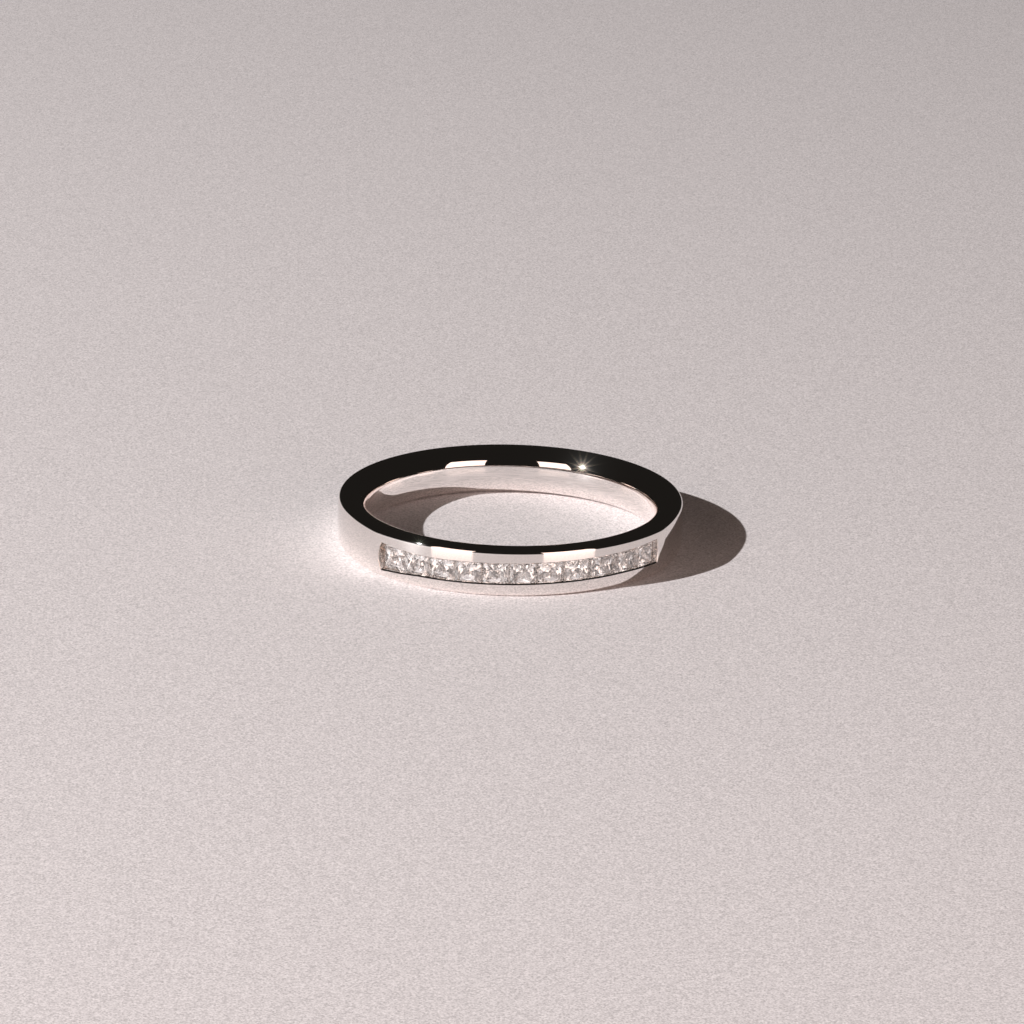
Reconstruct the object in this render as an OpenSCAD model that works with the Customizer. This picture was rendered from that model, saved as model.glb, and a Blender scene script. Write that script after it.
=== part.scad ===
// Half eternity ring: a polished white metal band with a row of square stones set in a channel.
// The ring lies on its side. The finger hole runs along Z, its middle is the origin, and the
// middle of the stone row faces -Y. All sizes are in millimetres.

/* [Band] */
// Inside diameter of the finger hole, measured on its straight middle land
finger_d = 16.5; // [16.1:0.1:16.9]
// Width of the band, from side face to side face
band_w = 2.7; // [2.6:0.05:3]
// Outer radius of the plain shank
shank_r = 9.97; // [9.9:0.01:10]
// Outer radius at the middle of the set front
front_r = 10.1; // [10.05:0.01:10.15]
// Outer radius at the two shoulder corners
corner_r = 10.2; // [10.16:0.01:10.25]
// Angle from the middle of the front to each shoulder corner
corner_angle = 54; // [53:1:54]

/* [Edges] */
// Radius of the rounded inner edges, which give the comfort fit
inner_round_r = 1; // [0.9:0.05:1.1]
// Radius of the rounded outer edges
outer_round_r = 0.23; // [0.15:0.01:0.3]

/* [Channel] */
// Height of the open mouth of the channel along most of the row
mouth_h = 1.15; // [1.1:0.01:1.2]
// Angle that each lip swings open towards the ends of the row
flare_angle = 4; // [3:0.5:4]
// How far from the last stone the lips start to swing open, as an angle round the row
flare_span = 15; // [10:1:18]
// Width of the bright bevel along the lips
lip_bevel = 0.07; // [0.04:0.01:0.08]
// Depth of the stones' tables below the outer face of the band
table_depth = 0.2; // [0.18:0.01:0.25]
// Clear length of channel past the last stone, as an angle round the row
end_clearance = 0.6; // [0.3:0.1:0.8]
// How far the middle of each channel end bows outward
end_bow = 0.12; // [0.08:0.01:0.15]

/* [Stones] */
// Number of stones in the row
stone_count = 11; // [11:11]
// Side of each square stone at its girdle
stone_w = 1.54; // [1.5:0.01:1.54]
// Angle from one stone to the next, seen from the centre of the front's curve
stone_pitch = 8.92; // [8.9:0.01:8.95]
// Side of the square table, as a share of the stone's side
table_share = 0.7; // [0.65:0.01:0.72]
// Height of the crown, from girdle to table
crown_h = 0.16; // [0.14:0.01:0.17]
// Height of the girdle
girdle_h = 0.04; // [0.03:0.01:0.05]
// Depth of the pavilion, from girdle to point
pavilion_h = 0.84; // [0.78:0.01:0.86]
// Room left between a stone and the metal round it
seat_gap = 0.025; // [0.02:0.005:0.03]

/* [Hidden] */
$fn = 180;
// A cutter reaches this far past the metal that it cuts
past = 0.6;
// A quarter turn, from the X axis to the Y axis and from face up to face out
quarter = 90;
land_r = finger_d / 2;
half_w = band_w / 2;

// The front's circle passes through the middle of the front and both shoulder corners. Its centre
// lies this far behind the finger hole's middle.
front_shift = (corner_r * corner_r - front_r * front_r)
    / (2 * (front_r - corner_r * cos(corner_angle)));
front_curve_r = front_r + front_shift;
// Angle to each shoulder corner, seen from that centre
front_sweep = atan2(corner_r * sin(corner_angle), corner_r * cos(corner_angle) + front_shift);

// The shank and the front start as pieces this deep, which reach into the finger hole
blank_t = 2.2;

// Radii measured from the centre of the front's outline
table_r = front_curve_r - table_depth;
girdle_top_r = table_r - crown_h;
girdle_low_r = girdle_top_r - girdle_h;
culet_r = girdle_low_r - pavilion_h;
row_half_angle = stone_count / 2 * stone_pitch;
channel_half_angle = row_half_angle + end_clearance;

// The stone's outline, from the table to the point, as shares of half the stone's side and of
// the crown's and the pavilion's heights
crown_break_out = 0.82;
crown_break_up = 0.7;
pavilion_steps = [
    // [how far out, how far down]
    [1, 0],
    [0.78, 0.33],
    [0.55, 0.6],
    [0.32, 0.81],
];
stone_half = stone_w / 2;
table_half = stone_half * table_share;
seat_half = stone_half + seat_gap;
mouth_half = mouth_h / 2;

function stone_name(i) = str("stone_", i < 9 ? "0" : "", i + 1);

// Moves its children to the centre of the front's outline and turns them to an angle round the
// front, counted from the middle of the row towards +X, with local +X pointing outward
module on_front(angle) {
    translate([0, front_shift, 0]) rotate([0, 0, angle - quarter]) children();
}

// Part of a ring: a section drawn as [radius, height], swept from one angle to another round the
// front, with 0 at the middle of the row
module swept(start, sweep) {
    rotate([0, 0, start - quarter]) rotate_extrude(angle = sweep, convexity = 4) children();
}

// Section of the band for an outline of radius r, before the finger hole is cut: straight across
// the outside, with both outer edges rounded
module blank_section(r) {
    round_z = half_w - outer_round_r;
    translate([r - blank_t, -half_w]) square([blank_t - outer_round_r, band_w]);
    translate([r - blank_t, -round_z]) square([blank_t, 2 * round_z]);
    for (side = [-1, 1]) translate([r - outer_round_r, side * round_z]) circle(r = outer_round_r);
}

// The finger hole: a short straight land, with a full round from it to each side face
module finger_hole() {
    land_half = half_w - inner_round_r;
    round_x = land_r + inner_round_r;
    rotate_extrude(convexity = 4) difference() {
        translate([0, -half_w - past]) square([round_x, band_w + 2 * past]);
        translate([land_r, -land_half]) square([inner_round_r + past, 2 * land_half]);
        for (side = [-1, 1]) translate([round_x, side * land_half]) circle(r = inner_round_r);
    }
}

// Upper half of the channel's opening between its lips, from the surface down, as [radius, height]
// points, with a small bevel at the surface
function mouth_side() =
    let (bevel_r = front_curve_r - lip_bevel, top_r = front_curve_r + past)
    [[top_r, mouth_half + top_r - bevel_r], [bevel_r, mouth_half]];

// Upper half of the channel below the lips: the undercut that takes the girdles, then the seat
// that follows the pavilions
function seat_side() =
    let (
        slope = crown_h / (stone_half - table_half),
        ledge_r = girdle_top_r + seat_gap,
        lip_r = ledge_r + slope * (seat_half - mouth_half)
    )
    concat(
        [[lip_r, mouth_half], [ledge_r, seat_half]],
        [for (s = pavilion_steps)
            [girdle_low_r - seat_gap - s[1] * pavilion_h, seat_gap + s[0] * stone_half]],
        [[culet_r - 2 * seat_gap, seat_gap]]
    );

// Closes a half outline with its mirror image below the middle plane
module both_sides(side) {
    polygon(concat(side, [for (i = [len(side) - 1 : -1 : 0]) [side[i][0], -side[i][1]]]));
}

// One end of the mouth: its lips swing open towards it, and the end itself bows outward a little.
// It is drawn as seen from outside, as [along the row, height] with the channel's end at 0.
module mouth_end() {
    spread = tan(flare_angle);
    flare_length = front_curve_r * sin(flare_span);
    flare_start = -flare_length - past;
    start_half = mouth_half - past * spread;
    end_half = mouth_half + flare_length * spread;
    bow_half = end_half + end_bow * spread;
    bow_r = (end_half * end_half + end_bow * end_bow) / (2 * end_bow);
    difference() {
        rotate([0, 0, channel_half_angle - quarter]) rotate([quarter, 0, quarter])
            linear_extrude(height = front_curve_r + past) intersection() {
                polygon([[end_bow, bow_half], [flare_start, start_half],
                         [flare_start, -start_half], [end_bow, -bow_half]]);
                translate([end_bow - bow_r, 0]) circle(r = bow_r);
            }
        cylinder(r = girdle_top_r, h = band_w, center = true);
    }
}

// The whole length of the channel, with the same section all along
module channel_run() {
    swept(-channel_half_angle, 2 * channel_half_angle)
        both_sides(concat(mouth_side(), seat_side()));
}

module band() {
    color("gainsboro") difference() {
        union() {
            rotate_extrude(convexity = 4) blank_section(shank_r);
            translate([0, front_shift, 0]) swept(-front_sweep, 2 * front_sweep)
                blank_section(front_curve_r);
        }
        finger_hole();
        translate([0, front_shift, 0]) channel_run();
        translate([0, front_shift, 0]) mouth_end();
        mirror([1, 0, 0]) translate([0, front_shift, 0]) mouth_end();
    }
}

// One square stone, its girdle's upper edge at z = 0 and its table up. Its corners are shared by
// the fans of pavilion facets, which meet along the middle of each side.
module princess_stone() {
    // A point on one side's middle line, and one on its right-hand corner, turned to side k
    function turned(p, k) = [p[0] * cos(k * quarter) - p[1] * sin(k * quarter),
                             p[0] * sin(k * quarter) + p[1] * cos(k * quarter), p[2]];
    sides = 4;
    steps = len(pavilion_steps);
    // Points of one side: table corner, crown break, girdle corner above and below, then the
    // middle line down the pavilion
    side_points = concat(
        [[table_half, table_half, crown_h],
         [stone_half * crown_break_out, 0, crown_h * crown_break_up],
         [stone_half, stone_half, 0],
         [stone_half, stone_half, -girdle_h]],
        [for (s = pavilion_steps) [stone_half * s[0], 0, -girdle_h - pavilion_h * s[1]]]
    );
    per_side = len(side_points);
    points = concat(
        [for (k = [0 : sides - 1]) for (p = side_points) turned(p, k)],
        [[0, 0, -girdle_h - pavilion_h]]
    );
    culet = sides * per_side;
    function at(k, i) = ((k + sides) % sides) * per_side + i;
    // Point numbers within a side
    table = 0;
    brk = 1;
    girdle = 2;
    low = 3;
    fan = 4;
    faces = concat(
        [[for (k = [sides - 1 : -1 : 0]) at(k, table)]],
        [for (k = [0 : sides - 1]) for (f = [
            [at(k - 1, table), at(k, table), at(k, brk)],
            [at(k - 1, table), at(k, brk), at(k - 1, girdle)],
            [at(k, table), at(k, girdle), at(k, brk)],
            [at(k, brk), at(k, girdle), at(k - 1, girdle)],
            [at(k - 1, girdle), at(k, girdle), at(k, low), at(k, fan), at(k - 1, low)],
            [at(k, fan + steps - 1), culet, at(k - 1, low)],
            [at(k, low), culet, at(k, fan + steps - 1)]
        ]) f],
        [for (k = [0 : sides - 1]) for (i = [0 : steps - 2]) for (f = [
            [at(k, fan + i), at(k, fan + i + 1), at(k - 1, low)],
            [at(k, low), at(k, fan + i + 1), at(k, fan + i)]
        ]) f]
    );
    polyhedron(points, faces);
}

// A stone in its seat, counted from the left end of the row
module stone(i) {
    color("white") on_front((i - (stone_count - 1) / 2) * stone_pitch)
        translate([girdle_top_r, 0, 0]) rotate([0, quarter, 0]) princess_stone();
}

band();
for (i = [0 : stone_count - 1])
    stone(i);
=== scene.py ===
"""Looks of the half eternity ring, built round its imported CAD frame.

The ring lies on its side on pale paper. The finger hole runs along Z, its middle is the origin,
and the middle of the stone row faces -Y. Sizes are in millimetres until a mesh, a light or the
camera is made, and then in metres. Angles are in degrees, and along the ring they are counted
from the middle of the row, positive to the right.
"""

import logging
import math
from dataclasses import dataclass, field
from enum import Enum

import bmesh
import bpy
import numpy as np
from mathutils import Matrix, Vector

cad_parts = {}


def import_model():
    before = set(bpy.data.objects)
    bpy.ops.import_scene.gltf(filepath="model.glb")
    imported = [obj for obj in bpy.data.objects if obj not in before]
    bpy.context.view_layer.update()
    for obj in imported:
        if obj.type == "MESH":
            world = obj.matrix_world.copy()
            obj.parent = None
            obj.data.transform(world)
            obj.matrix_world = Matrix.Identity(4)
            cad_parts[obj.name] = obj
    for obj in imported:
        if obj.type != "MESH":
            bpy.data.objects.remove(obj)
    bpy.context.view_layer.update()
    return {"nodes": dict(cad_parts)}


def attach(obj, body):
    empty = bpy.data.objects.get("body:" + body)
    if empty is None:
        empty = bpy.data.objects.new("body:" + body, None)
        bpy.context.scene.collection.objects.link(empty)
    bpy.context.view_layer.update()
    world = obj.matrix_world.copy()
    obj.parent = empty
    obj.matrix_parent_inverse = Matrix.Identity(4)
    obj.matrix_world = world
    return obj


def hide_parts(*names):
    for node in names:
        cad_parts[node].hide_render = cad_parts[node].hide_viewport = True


LOG = logging.getLogger("ring")
MM = 0.001
BODY = "root"

# Radius of the set front's outer face, seen along the finger hole
FRONT_R = 10.3473
# Two angles that differ by less than this are the same
SAME_ANGLE = 1e-9

# Light turns many times inside a diamond before it comes out, so it is followed for this many
# turns in all, and for this many of them off a mirror or through a clear face
ALL_TURNS = 32
CLEAR_TURNS = 24


class Side(Enum):
    """The two ends of the stone row, as the camera sees them."""

    LEFT = -1
    RIGHT = 1


class Level(Enum):
    """The two halves of the band's width, as the ring lies on its side."""

    UPPER = 1
    LOWER = -1


class Slot(Enum):
    """The record's material slots. A node's name starts with its slot."""

    BAND = "band"
    STONE = "stone"


class Glare(Enum):
    """What a lens makes of a very bright point."""

    BLOOM = "BLOOM"
    STREAKS = "STREAKS"


def linear(hex_colour: str) -> tuple[float, float, float, float]:
    """Turns an sRGB colour into the linear one that a shader takes.

    Args:
        hex_colour: six hex digits, with or without a leading #.

    Returns:
        Red, green, blue and an alpha of 1.
    """
    digits = hex_colour.lstrip("#")
    shares = [int(digits[i : i + 2], 16) / 255 for i in (0, 2, 4)]
    red, green, blue = (
        s / 12.92 if s <= 0.04045 else ((s + 0.055) / 1.055) ** 2.4 for s in shares
    )
    return red, green, blue, 1.0


def add_node(
    tree: bpy.types.NodeTree,
    kind: str,
    settings: dict[str, object],
    sockets: dict[str | int, object],
) -> bpy.types.Node:
    """Adds one node with its settings, its socket values and the links into it.

    Args:
        tree: the node tree to add to.
        kind: Blender's name for the node's kind.
        settings: the node's own settings, by name.
        sockets: for each input, by name or number, a value or the output that feeds it.

    Returns:
        The new node.
    """
    node = tree.nodes.new(kind)
    for name, value in settings.items():
        setattr(node, name, value)
    for name, value in sockets.items():
        if isinstance(value, bpy.types.NodeSocket):
            tree.links.new(value, node.inputs[name])
        else:
            node.inputs[name].default_value = value
    return node


def new_material(name: str) -> tuple[bpy.types.Material, bpy.types.NodeTree]:
    """Makes an empty node material.

    Args:
        name: the material's name.

    Returns:
        The material and its node tree.
    """
    material = bpy.data.materials.new(name)
    material.use_nodes = True
    material.node_tree.nodes.clear()
    return material, material.node_tree


@dataclass(frozen=True)
class PolishedWhiteGold:
    """18 ct white gold, rhodium plated and buffed: a near mirror with a faint warm cast.

    Buffing leaves hair-fine scratches, which only soften the edges of what the metal mirrors.
    """

    colour: str = "#F4EFEC"
    roughness: float = 0.03
    # Hair scratches are drawn about this far apart, coarser than real ones, so that they show
    scratch_mm: float = 0.05
    scratch_depth_mm: float = 0.00003
    scratch_detail: float = 3.0
    # Hand polishing leaves the faces very slightly uneven over about this distance
    wave_mm: float = 1.6
    wave_depth_mm: float = 0.0004
    wave_detail: float = 1.0

    def make(self) -> bpy.types.Material:
        """Builds the material.

        Returns:
            The finished material.
        """
        material, tree = new_material("white_gold_buffed")
        place = add_node(tree, "ShaderNodeTexCoord", {}, {}).outputs["Object"]
        wave = add_node(
            tree,
            "ShaderNodeTexNoise",
            {},
            {"Vector": place, "Scale": 1 / (self.wave_mm * MM), "Detail": self.wave_detail},
        )
        scratch = add_node(
            tree,
            "ShaderNodeTexNoise",
            {},
            {"Vector": place, "Scale": 1 / (self.scratch_mm * MM), "Detail": self.scratch_detail},
        )
        wavy = add_node(
            tree,
            "ShaderNodeBump",
            {},
            {"Strength": 1.0, "Distance": self.wave_depth_mm * MM, "Height": wave.outputs["Fac"]},
        )
        scratched = add_node(
            tree,
            "ShaderNodeBump",
            {},
            {
                "Strength": 1.0,
                "Distance": self.scratch_depth_mm * MM,
                "Height": scratch.outputs["Fac"],
                "Normal": wavy.outputs["Normal"],
            },
        )
        shader = add_node(
            tree,
            "ShaderNodeBsdfPrincipled",
            {},
            {
                "Base Color": linear(self.colour),
                "Metallic": 1.0,
                "Roughness": self.roughness,
                "Normal": scratched.outputs["Normal"],
            },
        )
        add_node(tree, "ShaderNodeOutputMaterial", {}, {"Surface": shader.outputs["BSDF"]})
        return material


@dataclass(frozen=True)
class CutDiamond:
    """Colourless diamond, cut and polished: clear, with strong bending of light in each facet.

    No two stones are polished quite alike. Small patches that lean a little, each its own way,
    break the light into the fine splinters that a row of small stones shows. Facets throw a small
    lamp back as flashes, brightest where the stone faces the lamp. Tracing hardly finds those, so
    some patches of the outer faces scatter a share of the light in their place.
    """

    colour: str = "#FFFFFF"
    ior: float = 2.42
    roughness: float = 0.0
    # Size of the leaning patches, and how far each may lean, in radians each way
    patch_mm: float = 0.4
    patch_lean: float = 0.015
    # Size of the flashing patches. A patch's random shade decides its flash: none below the first
    # value, the full share of the light above the second.
    flash_mm: float = 0.24
    flash_start: float = 0.4
    flash_full: float = 0.8
    flash_share: float = 0.21

    def make(self) -> bpy.types.Material:
        """Builds the material.

        Returns:
            The finished material.
        """
        material, tree = new_material("diamond_cut")
        place = add_node(tree, "ShaderNodeTexCoord", {}, {}).outputs["Object"]
        face = add_node(tree, "ShaderNodeNewGeometry", {}, {}).outputs
        patches = add_node(
            tree,
            "ShaderNodeTexVoronoi",
            {},
            {"Vector": place, "Scale": 1 / (self.patch_mm * MM)},
        )
        lean = add_node(
            tree,
            "ShaderNodeVectorMath",
            {"operation": "MULTIPLY_ADD"},
            {
                0: patches.outputs["Color"],
                1: (2 * self.patch_lean,) * 3,
                2: (-self.patch_lean,) * 3,
            },
        )
        leaning = add_node(
            tree,
            "ShaderNodeVectorMath",
            {"operation": "ADD"},
            {0: face["Normal"], 1: lean.outputs["Vector"]},
        )
        normal = add_node(
            tree, "ShaderNodeVectorMath", {"operation": "NORMALIZE"}, {0: leaning.outputs["Vector"]}
        )
        shader = add_node(
            tree,
            "ShaderNodeBsdfPrincipled",
            {},
            {
                "Base Color": linear(self.colour),
                "Roughness": self.roughness,
                "IOR": self.ior,
                "Transmission Weight": 1.0,
                "Normal": normal.outputs["Vector"],
            },
        )
        flash = self._flash(tree, place, face["Backfacing"])
        both = add_node(tree, "ShaderNodeAddShader", {}, {0: shader.outputs["BSDF"], 1: flash})
        add_node(tree, "ShaderNodeOutputMaterial", {}, {"Surface": both.outputs["Shader"]})
        return material

    def _flash(
        self,
        tree: bpy.types.NodeTree,
        place: bpy.types.NodeSocket,
        from_inside: bpy.types.NodeSocket,
    ) -> bpy.types.NodeSocket:
        """Adds the flashes, which only the outside of a face shows.

        Args:
            tree: the node tree to add to.
            place: the point on the stone.
            from_inside: 1 where a face is met from inside the stone, else 0.

        Returns:
            The flashes' shader.
        """
        patches = add_node(
            tree,
            "ShaderNodeTexVoronoi",
            {},
            {"Vector": place, "Scale": 1 / (self.flash_mm * MM)},
        )
        share = add_node(
            tree,
            "ShaderNodeMapRange",
            {},
            {
                "Value": patches.outputs["Color"],
                "From Min": self.flash_start,
                "From Max": self.flash_full,
                "To Max": self.flash_share,
            },
        )
        outside = add_node(
            tree, "ShaderNodeMath", {"operation": "SUBTRACT"}, {0: 1.0, 1: from_inside}
        )
        shown = add_node(
            tree,
            "ShaderNodeMath",
            {"operation": "MULTIPLY"},
            {0: share.outputs["Result"], 1: outside.outputs["Value"]},
        )
        flash = add_node(tree, "ShaderNodeBsdfDiffuse", {}, {"Color": shown.outputs["Value"]})
        return flash.outputs["BSDF"]


@dataclass(frozen=True)
class StudioPaper:
    """Uncoated pale paper, calendered: matt, with a fine speckle of fibres.

    Calendering presses the fibres flat, so that light which skims the paper is mirrored, and the
    lower the light the more. The speckle is drawn at about the width of one pixel of the render,
    since real fibres are finer.
    """

    colour: str = "#E4DCDC"
    grain_mm: float = 0.1
    grain_depth_mm: float = 0.003
    grain_detail: float = 4.0
    # Where the grain's height is at the first of these values, the paper is darker by the speckle,
    # and where it is at the second, brighter by it
    grain_low: float = 0.3
    grain_high: float = 0.7
    speckle: float = 0.3
    roughness: float = 0.9
    gloss: float = 0.2
    # Light lower than the first angle above the paper starts to be mirrored, and lower than the
    # second is mirrored by the full share
    skim_start: float = 18.5
    skim_full: float = 7.0
    skim_share: float = 0.7
    skim_roughness: float = 0.15

    def make(self) -> bpy.types.Material:
        """Builds the material.

        Returns:
            The finished material.
        """
        material, tree = new_material("paper_calendered")
        place = add_node(tree, "ShaderNodeTexCoord", {}, {}).outputs["Object"]
        grain = add_node(
            tree,
            "ShaderNodeTexNoise",
            {},
            {"Vector": place, "Scale": 1 / (self.grain_mm * MM), "Detail": self.grain_detail},
        )
        raised = add_node(
            tree,
            "ShaderNodeBump",
            {},
            {"Strength": 1.0, "Distance": self.grain_depth_mm * MM, "Height": grain.outputs["Fac"]},
        )
        shade = add_node(
            tree,
            "ShaderNodeMapRange",
            {},
            {
                "Value": grain.outputs["Fac"],
                "From Min": self.grain_low,
                "From Max": self.grain_high,
                "To Min": 1 - self.speckle,
                "To Max": 1 + self.speckle,
            },
        )
        speckled = add_node(
            tree,
            "ShaderNodeVectorMath",
            {"operation": "SCALE"},
            {0: linear(self.colour)[:3], "Scale": shade.outputs["Result"]},
        )
        shader = add_node(
            tree,
            "ShaderNodeBsdfPrincipled",
            {},
            {
                "Base Color": speckled.outputs["Vector"],
                "Roughness": self.roughness,
                "Specular IOR Level": self.gloss,
                "Normal": raised.outputs["Normal"],
            },
        )
        # At this blend, Facing is 1 minus the sine of the angle above the paper
        facing = add_node(tree, "ShaderNodeLayerWeight", {}, {"Blend": 0.5}).outputs["Facing"]
        skim = add_node(
            tree,
            "ShaderNodeMapRange",
            {},
            {
                "Value": facing,
                "From Min": 1 - math.sin(math.radians(self.skim_start)),
                "From Max": 1 - math.sin(math.radians(self.skim_full)),
                "To Max": self.skim_share,
            },
        )
        sheen = add_node(
            tree,
            "ShaderNodeBsdfAnisotropic",
            {},
            {"Color": skim.outputs["Result"], "Roughness": self.skim_roughness},
        )
        both = add_node(
            tree, "ShaderNodeAddShader", {}, {0: shader.outputs["BSDF"], 1: sheen.outputs["BSDF"]}
        )
        add_node(tree, "ShaderNodeOutputMaterial", {}, {"Surface": both.outputs["Shader"]})
        return material


@dataclass(frozen=True)
class Arc:
    """One arc of the ring's outline, with x to the right and y towards the front."""

    centre_x: float
    centre_y: float
    radius: float
    # The arc ends where its outward direction is this many degrees from the front
    until: float


@dataclass(frozen=True)
class Outline:
    """The outer outline, as arcs that run smoothly into one another from the front to the back."""

    # The flatter front, the corner of the shoulder, the shoulder and the plain shank
    arcs: tuple[Arc, ...] = (
        Arc(0.0, -0.2473, radius=FRONT_R, until=51.34),
        Arc(5.7375, 4.3424, radius=3.0, until=61.77),
        Arc(-4.3899, -1.0942, radius=14.4940, until=76.0),
        Arc(0.0, 0.0, radius=9.97, until=180.0),
    )

    def at(self, degrees: float) -> tuple[float, float, float]:
        """Finds the arc at one place of the outline.

        Args:
            degrees: outward direction, from the front, -180 to 180 and positive to the right.

        Returns:
            The arc's centre, x and y, and its radius.
        """
        turn = abs(degrees)
        arc = next(a for a in self.arcs if turn <= a.until + SAME_ANGLE)
        return math.copysign(1, degrees) * arc.centre_x, arc.centre_y, arc.radius


@dataclass(frozen=True)
class ChannelEnd:
    """One end of the channel, as its setter cut it."""

    # Where the end's corners are, as an angle from the middle of the row
    half_angle: float
    # How far the middle of the end bows outward
    bow: float
    # Half the height of the mouth at the end, and how far it lies above the band's middle there
    mouth_half: float
    shift: float


@dataclass(frozen=True)
class Channel:
    """The channel for the stones. Depths are measured inward from the outer face."""

    mouth_half: float = 0.575
    bevel: float = 0.07
    # The lips start to swing open this far before an end
    flare_span: float = 15.0
    curve_r: float = FRONT_R
    left: ChannelEnd = ChannelEnd(half_angle=49.1, bow=0.26, mouth_half=0.76, shift=-0.10)
    right: ChannelEnd = ChannelEnd(half_angle=49.5, bow=0.10, mouth_half=0.65, shift=0.13)
    # Radius and half height at the undercut's ledge, which reaches a little past the mouth, and
    # how steeply the undercut rises from the ledge to the lip
    ledge_r: float = 10.012
    seat_half: float = 0.795
    ledge_room: float = 0.01
    undercut_slope: float = 0.693
    # Radius and half height of each point down the seat, which follows the pavilions
    seat: tuple[tuple[float, float], ...] = (
        (9.922, 0.795),
        (9.645, 0.626),
        (9.418, 0.449),
        (9.242, 0.271),
        (9.057, 0.025),
    )
    # Radius of the rounded rim of each end wall, and the depths of the points below it
    end_round: float = 0.05
    end_round_steps: int = 5
    end_depths: tuple[float, ...] = (0.12, 0.19, 0.26, 0.33, 0.42, 0.6, 0.8, 1.05)
    # Where the points lie on a line across an end, as shares of the way from its middle to its edge
    shares: tuple[float, ...] = (0.98, 0.94, 0.86, 0.74, 0.58, 0.42, 0.24, 0.03)

    def end(self, degrees: float) -> ChannelEnd:
        """The end that is nearer to a place of the row."""
        return self.right if degrees > 0 else self.left

    def middle(self, degrees: float) -> float:
        """Height of the mouth's middle line at a place of the row."""
        end = self.end(degrees)
        turn = min(abs(degrees), end.half_angle)
        return end.shift * math.sin(math.radians(turn)) / math.sin(math.radians(end.half_angle))

    def half_height(self, degrees: float) -> float:
        """Half the height of the mouth, which opens out towards the ends of the row.

        Args:
            degrees: angle from the middle of the row, positive to the right.

        Returns:
            Half the height, without the bevel.
        """
        end = self.end(degrees)
        span = math.sin(math.radians(self.flare_span))
        to_end = math.sin(math.radians(max(0.0, end.half_angle - abs(degrees))))
        opened = max(0.0, 1 - to_end / span)
        return self.mouth_half + (end.mouth_half - self.mouth_half) * opened

    def open_points(self, half: float, face: "Section") -> list[tuple[float, float]]:
        """The channel's points from the bevel's top down to the floor, on one side.

        Args:
            half: height of the mouth's edge there, above the band's middle line.
            face: the band's section, which says how far the face lies in at each height.

        Returns:
            Depth and height of each point.
        """
        top = half + self.bevel
        ledge_half = max(self.seat_half, half + self.ledge_room)
        lip_r = self.ledge_r + self.undercut_slope * (ledge_half - half)
        seat = [(lip_r, half), (self.ledge_r, ledge_half), *self.seat]
        return [
            (face.sag(top), top),
            (face.sag(half) + self.bevel, half),
            *((self.curve_r - r, z) for r, z in seat),
        ]

    def wall_points(
        self, half: float, limit: float, face: "Section"
    ) -> list[tuple[float, float]]:
        """The same points where they reach only part of the way down, as they do at an end.

        Args:
            half: height of the mouth's edge there.
            limit: how deep the points go.
            face: the band's section.

        Returns:
            Depth and height of each point.
        """
        points = self.open_points(half, face)
        flat = [(depth - face.sag(z), z) for depth, z in points]
        room = float(np.interp(limit, [d for d, _ in flat], [z for _, z in flat]))
        for k, share in enumerate(self.shares, start=1):
            if flat[k][0] > limit:
                points[k] = (limit + face.sag(room * share), room * share)
        return points


@dataclass(frozen=True)
class Section:
    """The band's section: a gently domed outside, rounded edges, flat sides and a comfort fit."""

    half_w: float = 1.35
    dome_r: float = 15.2
    outer_round: float = 0.23
    outer_round_steps: int = 8
    inner_r: float = 8.25
    inner_round: float = 1.0
    inner_round_steps: int = 14
    face_steps: int = 6

    def sag(self, height: float) -> float:
        """How far the domed face lies in from its highest line, at one height."""
        return self.dome_r - math.sqrt(self.dome_r**2 - height**2)

    def outside(self, start: float) -> list[tuple[float, float]]:
        """Points over the domed face and round the outer edge.

        Args:
            start: height at which the points start, just outside the channel.

        Returns:
            Depth and height of each point, up to the flat side.
        """
        round_z = self.half_w - self.outer_round
        reach = self.dome_r - self.outer_round
        tilt = math.asin(round_z / reach)
        centre = self.dome_r - math.sqrt(reach**2 - round_z**2)
        face_end = round_z + self.outer_round * math.sin(tilt)
        heights = np.linspace(start, face_end, self.face_steps + 1)[1:-1]
        turns = np.linspace(tilt, math.pi / 2, self.outer_round_steps + 1)
        return [(self.sag(float(z)), float(z)) for z in heights] + [
            (centre - self.outer_round * math.cos(t), round_z + self.outer_round * math.sin(t))
            for t in turns
        ]

    def inside(self) -> list[tuple[float, float]]:
        """Radius and height of the points from the flat side to the middle of the finger hole."""
        land = self.half_w - self.inner_round
        turns = np.linspace(math.pi / 2, math.pi, self.inner_round_steps + 1)
        return [
            (
                self.inner_r + self.inner_round * (1 + math.cos(t)),
                land + self.inner_round * math.sin(t),
            )
            for t in turns
        ]


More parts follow.
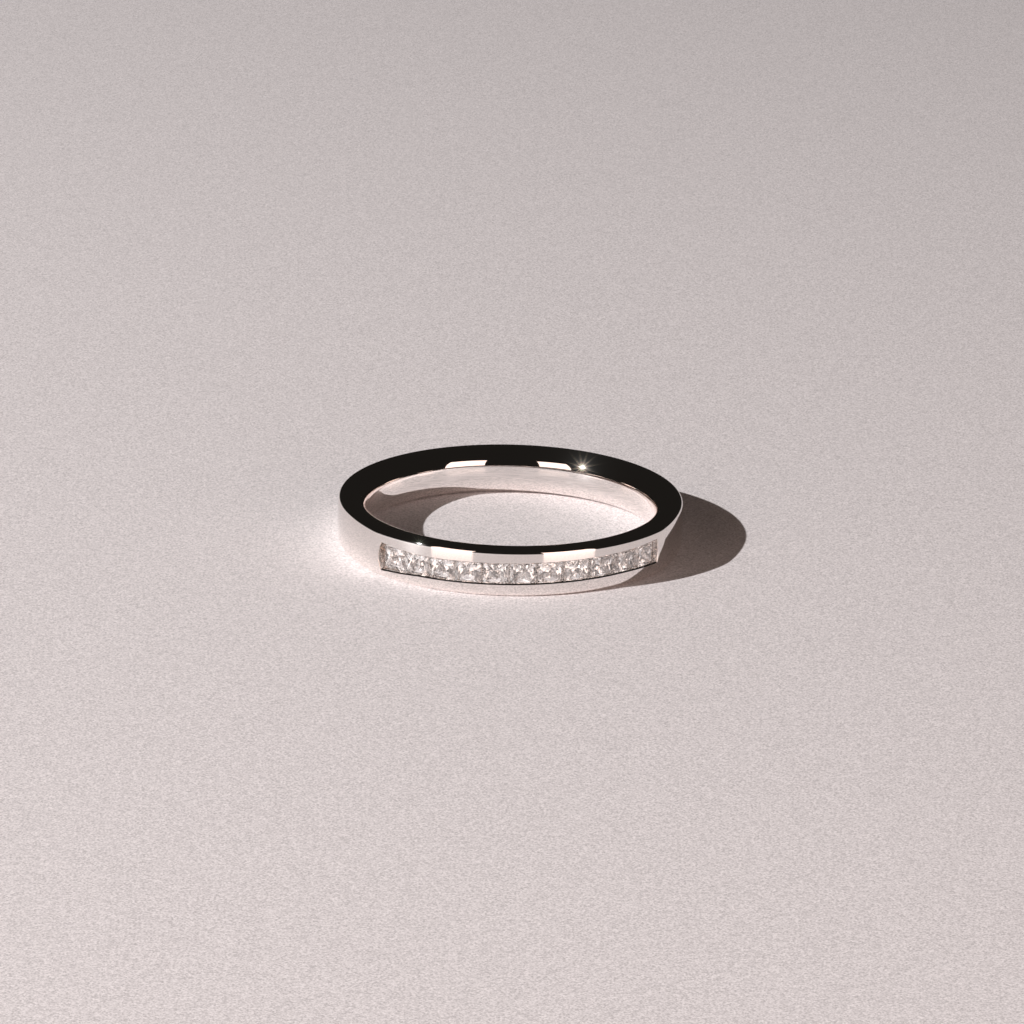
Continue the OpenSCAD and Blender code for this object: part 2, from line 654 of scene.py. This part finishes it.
@dataclass
class Band:
    """The metal ring, in one piece: shank, shoulders, channel walls and the seat for the stones."""

    outline: Outline = field(default_factory=Outline)
    section: Section = field(default_factory=Section)
    channel: Channel = field(default_factory=Channel)
    finish: PolishedWhiteGold = field(default_factory=PolishedWhiteGold)
    # Steps between neighbouring rings of points, in degrees
    row_step: float = 0.45
    shank_step: float = 0.5
    # The rings of points at a channel end are spread over this many degrees outside the channel
    end_spread: float = 1.6
    end_margin: float = 0.3
    # Edges that turn more than this stay crisp
    crisp_angle: float = 28.0
    # Points nearer than this become one, in metres
    join_distance: float = 1e-8
    name: str = "band_polished"

    def build(self) -> bpy.types.Object:
        """Makes the band's mesh.

        Returns:
            The band, in the row frame, standing for its CAD node.
        """
        rings = self._rings()
        count, per_ring = len(rings), len(rings[0])
        mesh = bmesh.new()
        made = [[mesh.verts.new(Vector(p) * MM) for p in ring] for ring in rings]
        for i in range(count):
            here, there = made[i], made[(i + 1) % count]
            for k in range(per_ring):
                after = (k + 1) % per_ring
                mesh.faces.new((here[k], here[after], there[after], there[k]))
        bmesh.ops.remove_doubles(mesh, verts=mesh.verts[:], dist=self.join_distance)
        bmesh.ops.dissolve_degenerate(mesh, edges=mesh.edges[:], dist=self.join_distance)
        bmesh.ops.recalc_face_normals(mesh, faces=mesh.faces[:])
        data = bpy.data.meshes.new(self.name)
        mesh.to_mesh(data)
        mesh.free()
        data.shade_smooth()
        data.set_sharp_from_angle(angle=math.radians(self.crisp_angle))
        band = bpy.data.objects.new(self.name, data)
        bpy.context.scene.collection.objects.link(band)
        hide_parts("band")
        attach(band, BODY)
        LOG.info("%s: %d faces", self.name, len(data.polygons))
        return band

    def dress(self, band: bpy.types.Object) -> None:
        """Gives the band its metal.

        Args:
            band: the band's object.
        """
        band.data.materials.append(self.finish.make())
        LOG.info("%s: %s", self.name, band.data.materials[0].name)

    def _rings(self) -> list[np.ndarray]:
        """The rings of points, all with the same number of points, once round the finger."""
        first = -self.channel.left.half_angle + self.end_margin
        last = self.channel.right.half_angle - self.end_margin
        row = np.linspace(first, last, round((last - first) / self.row_step) + 1)
        start, stop = last + self.end_spread, 360 + first - self.end_spread
        rest = np.arange(start + self.shank_step / 2, stop, self.shank_step)
        rings = [self._ring(a) for a in row]
        rings += self._end_rings(Side.RIGHT)
        rings += [self._ring(a if a <= 180 else a - 360, 0.0) for a in rest]
        rings += self._end_rings(Side.LEFT)
        return rings

    def _end_rings(self, side: Side) -> list[np.ndarray]:
        """The rings of points that make one end of the channel, in the order round the ring.

        Args:
            side: which end.

        Returns:
            Rings of points, from inside the channel outward for the right end.
        """
        channel = self.channel
        walls = [(depth, 0.0) for depth in reversed(channel.end_depths)]
        turns = np.linspace(0, math.pi / 2, channel.end_round_steps + 1)
        rim = [
            (channel.end_round * (1 - math.sin(t)), channel.end_round * (1 - math.cos(t)))
            for t in turns
        ]
        steps = walls + rim
        start = channel.end(side.value).half_angle - self.end_margin
        spots = np.linspace(start, start + self.end_spread, len(steps) + 1)[1:]
        rings = [
            self._ring(side.value * spot, depth, along)
            for spot, (depth, along) in zip(spots, steps)
        ]
        return rings if side is Side.RIGHT else rings[::-1]

    def _ring(
        self, degrees: float, limit: float | None = None, along: float | None = None
    ) -> np.ndarray:
        """One ring of points round the band's section.

        Args:
            degrees: outward direction of the section, from the front.
            limit: how deep the channel's points go, or None for the whole channel.
            along: at a channel end, how far past its wall those points lie, in millimetres.

        Returns:
            Points in millimetres, as many rows as points.
        """
        upper = self._half_ring(degrees, Level.UPPER, limit, along)
        lower = self._half_ring(degrees, Level.LOWER, limit, along)
        return np.array(upper + lower[::-1])

    def _half_ring(
        self, degrees: float, level: Level, limit: float | None, along: float | None
    ) -> list[tuple[float, float, float]]:
        """The upper or lower half of one ring of points, from the channel to the finger hole.

        Args:
            degrees: outward direction of the section, from the front.
            level: which half.
            limit: how deep the channel's points go, or None for the whole channel.
            along: at a channel end, how far past its wall those points lie, in millimetres.

        Returns:
            Points in millimetres.
        """
        centre_x, centre_y, radius = self.outline.at(degrees)
        turn = math.radians(degrees)
        channel = self.channel
        half = channel.half_height(degrees)
        middle = level.value * channel.middle(degrees)
        if limit is None:
            groove = channel.open_points(half + middle, self.section)
        else:
            groove = channel.wall_points(half + middle, limit, self.section)
        angles = [turn] * len(groove)
        if along is not None:
            end = channel.end(degrees)
            for k, (_, height) in enumerate(groove):
                share = (height - middle) / (half + channel.bevel)
                past = along + end.bow * max(0.0, 1 - share**2)
                wall = math.radians(end.half_angle) + past / radius
                angles[k] = math.copysign(wall, degrees)
        outer = groove[::-1] + self.section.outside(groove[0][1])
        angles = angles[::-1] + [turn] * (len(outer) - len(angles))
        edge = [
            (
                centre_x + (radius - depth) * math.sin(a),
                centre_y + (radius - depth) * math.cos(a),
                height,
            )
            for (depth, height), a in zip(outer, angles)
        ]
        polar = math.atan2(centre_x + radius * math.sin(turn), centre_y + radius * math.cos(turn))
        inner = [
            (inner_r * math.sin(polar), inner_r * math.cos(polar), height)
            for inner_r, height in self.section.inside()
        ]
        return [(x, -y, level.value * z) for x, y, z in edge + inner]


@dataclass
class StoneRow:
    """The eleven square stones, kept from the CAD model."""

    nodes: dict[str, bpy.types.Object]
    slot: Slot = Slot.STONE
    finish: CutDiamond = field(default_factory=CutDiamond)

    def dress(self) -> None:
        """Gives every stone the same clear diamond."""
        diamond = self.finish.make()
        for name, stone in sorted(self.nodes.items()):
            if name.startswith(self.slot.value):
                stone.data.materials.clear()
                stone.data.materials.append(diamond)
                LOG.info("%s: %s", name, diamond.name)


@dataclass
class Studio:
    """The paper floor, the two softboxes, the lamp and the dark room round them."""

    floor_z: float = -1.35
    floor_half: float = 3000.0
    paper: StudioPaper = field(default_factory=StudioPaper)
    room_colour: str = "#1C1A18"
    # The lamp stands this far from the middle of the ring along the floor, and this high
    lamp_azimuth: float = -68.0
    lamp_reach: float = 850.0
    lamp_height: float = 521.0
    lamp_radius: float = 7.0
    # What the lamp gives a surface beside the ring that faces it
    lamp_light: float = 4.1
    box_distance: float = 350.0
    box_height: float = 260.0
    # First and last azimuth of each softbox, from the front of the ring
    boxes: tuple[tuple[float, float], ...] = ((-54.0, -27.3), (16.6, 50.0))
    # How bright a softbox looks, where 1 is white
    box_glow: float = 1.8
    box_colour: str = "#FFE6DA"

    def build(self) -> None:
        """Makes the floor, the room and the lights."""
        self._floor()
        self._room()
        self._lamp()
        for low, high in self.boxes:
            self._softbox(low, high)

    def _floor(self) -> None:
        """Lays the paper."""
        reach = self.floor_half
        corners = [(-reach, -reach), (reach, -reach), (reach, reach), (-reach, reach)]
        mesh = bmesh.new()
        mesh.faces.new([mesh.verts.new(Vector((x, y, self.floor_z)) * MM) for x, y in corners])
        data = bpy.data.meshes.new("floor")
        mesh.to_mesh(data)
        mesh.free()
        floor = bpy.data.objects.new("floor", data)
        bpy.context.scene.collection.objects.link(floor)
        data.materials.append(self.paper.make())
        LOG.info("floor: %s", data.materials[0].name)

    def _room(self) -> None:
        """Makes the unlit room that the polished metal mirrors as near black."""
        world = bpy.data.worlds.new("room")
        world.use_nodes = True
        tree = world.node_tree
        tree.nodes.clear()
        dim = {"Color": linear(self.room_colour), "Strength": 1.0}
        glow = add_node(tree, "ShaderNodeBackground", {}, dim)
        add_node(tree, "ShaderNodeOutputWorld", {}, {"Surface": glow.outputs["Background"]})
        bpy.context.scene.world = world

    def _light(self, name: str, kind: str, place: Vector, aim: Vector) -> bpy.types.Object:
        """Makes one light that looks from a place to a point.

        Args:
            name: the light's name.
            kind: Blender's name for the kind of light.
            place: where it stands, in metres.
            aim: what it points at, in metres.

        Returns:
            The light's object.
        """
        light = bpy.data.objects.new(name, bpy.data.lights.new(name, kind))
        bpy.context.scene.collection.objects.link(light)
        light.location = place
        light.rotation_mode = "QUATERNION"
        light.rotation_quaternion = (aim - place).to_track_quat("-Z", "Y")
        light.visible_camera = False
        return light

    def _lamp(self) -> None:
        """Hangs the small hard lamp at the front left, which casts the shadow."""
        turn = math.radians(self.lamp_azimuth)
        spot = MM * Vector(
            (math.sin(turn) * self.lamp_reach, -math.cos(turn) * self.lamp_reach, self.lamp_height)
        )
        lamp = self._light("lamp", "POINT", spot, Vector((0, 0, 0)))
        lamp.data.shadow_soft_size = self.lamp_radius * MM
        lamp.data.energy = self.lamp_light * 4 * math.pi * spot.length_squared
        LOG.info("lamp: azimuth %.0f, %.0f W", self.lamp_azimuth, lamp.data.energy)

    def _softbox(self, low: float, high: float) -> None:
        """Stands one softbox on the floor.

        Args:
            low: azimuth of its left edge.
            high: azimuth of its right edge.
        """
        turn = math.radians((low + high) / 2)
        far = self.box_distance
        width = 2 * far * math.tan(math.radians((high - low) / 2))
        level = self.floor_z + self.box_height / 2
        place = Vector((math.sin(turn) * far, -math.cos(turn) * far, level))
        box = self._light("softbox", "AREA", place * MM, Vector((0, 0, level)) * MM)
        box.data.shape = "RECTANGLE"
        box.data.size = width * MM
        box.data.size_y = self.box_height * MM
        box.data.color = linear(self.box_colour)[:3]
        box.data.energy = self.box_glow * math.pi * box.data.size * box.data.size_y
        LOG.info("softbox: %.0f to %.0f", low, high)


@dataclass(frozen=True)
class PhotoCamera:
    """The camera, where the photograph was taken from."""

    # The point in the middle of the picture, and how far the camera is from it
    look_at: tuple[float, float, float] = (0.243, 1.755, -0.25)
    distance: float = 300.0
    azimuth: float = -4.8
    elevation: float = 18.27
    roll: float = 1.284
    # Focal length and sensor width
    lens: float = 181.58
    sensor: float = 36.0
    # Nothing nearer or farther than this is drawn, in metres
    nearest: float = 0.01
    farthest: float = 20.0

    def place(self) -> None:
        """Makes the camera and gives it to the scene."""
        turn, rise = math.radians(self.azimuth), math.radians(self.elevation)
        back = Vector(
            (math.sin(turn) * math.cos(rise), -math.cos(turn) * math.cos(rise), math.sin(rise))
        )
        right = Vector((math.cos(turn), math.sin(turn), 0.0))
        up = back.cross(right)
        tilt = math.radians(self.roll)
        across = right * math.cos(tilt) + up * math.sin(tilt)
        upward = up * math.cos(tilt) - right * math.sin(tilt)
        camera = bpy.data.objects.new("camera", bpy.data.cameras.new("camera"))
        bpy.context.scene.collection.objects.link(camera)
        turned = Matrix((across, upward, back)).transposed().to_4x4()
        spot = (Vector(self.look_at) + back * self.distance) * MM
        camera.matrix_world = Matrix.Translation(spot) @ turned
        camera.data.sensor_width = self.sensor
        camera.data.lens = self.lens
        camera.data.clip_start, camera.data.clip_end = self.nearest, self.farthest
        bpy.context.scene.camera = camera
        LOG.info("camera: azimuth %.1f, elevation %.1f", self.azimuth, self.elevation)


@dataclass(frozen=True)
class Glow:
    """What one flaw of the lens does to light that is brighter than white."""

    kind: Glare
    # Light brighter than the first glows, and light brighter than the second counts as that
    threshold: float
    brightest: float
    strength: float
    # What else this kind of glare needs, by the name of the node's input
    sockets: dict[str, object]


@dataclass(frozen=True)
class Lens:
    """The photograph's lens: the lamp's glints on the metal bloom and have short warm rays."""

    glows: tuple[Glow, ...] = (
        Glow(
            kind=Glare.BLOOM, threshold=6.0, brightest=1200.0, strength=1.6, sockets={"Size": 0.1}
        ),
        Glow(
            kind=Glare.STREAKS,
            threshold=20.0,
            brightest=200.0,
            strength=0.08,
            sockets={
                "Tint": linear("#FFE6C8"),
                "Streaks": 12,
                "Streaks Angle": math.radians(10),
                "Iterations": 3,
                "Fade": 0.75,
                "Color Modulation": 0.2,
            },
        ),
    )

    def fit(self, scene: bpy.types.Scene) -> None:
        """Puts the lens between the scene and its picture.

        Args:
            scene: the scene to look at.
        """
        scene.use_nodes = True
        tree = scene.node_tree
        tree.nodes.clear()
        picture = add_node(tree, "CompositorNodeRLayers", {}, {}).outputs["Image"]
        for glow in self.glows:
            flaw = add_node(
                tree,
                "CompositorNodeGlare",
                {"glare_type": glow.kind.value, "quality": "HIGH"},
                {
                    "Image": picture,
                    "Threshold": glow.threshold,
                    "Clamp": True,
                    "Maximum": glow.brightest,
                    "Strength": glow.strength,
                    **glow.sockets,
                },
            )
            picture = flaw.outputs["Image"]
        add_node(tree, "CompositorNodeComposite", {}, {"Image": picture})
        LOG.info("lens: %d kinds of glow", len(self.glows))


def main() -> None:
    """Loads the frame, builds and dresses the ring, and sets the studio round it."""
    logging.basicConfig(level=logging.INFO, format="%(name)s %(message)s")
    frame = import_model()
    band = Band()
    band.dress(band.build())
    StoneRow(frame["nodes"]).dress()
    Studio().build()
    PhotoCamera().place()
    scene = bpy.context.scene
    Lens().fit(scene)
    scene.view_settings.view_transform = "Standard"
    scene.cycles.max_bounces = ALL_TURNS
    scene.cycles.glossy_bounces = CLEAR_TURNS
    scene.cycles.transmission_bounces = CLEAR_TURNS


if __name__ == "__main__":
    main()
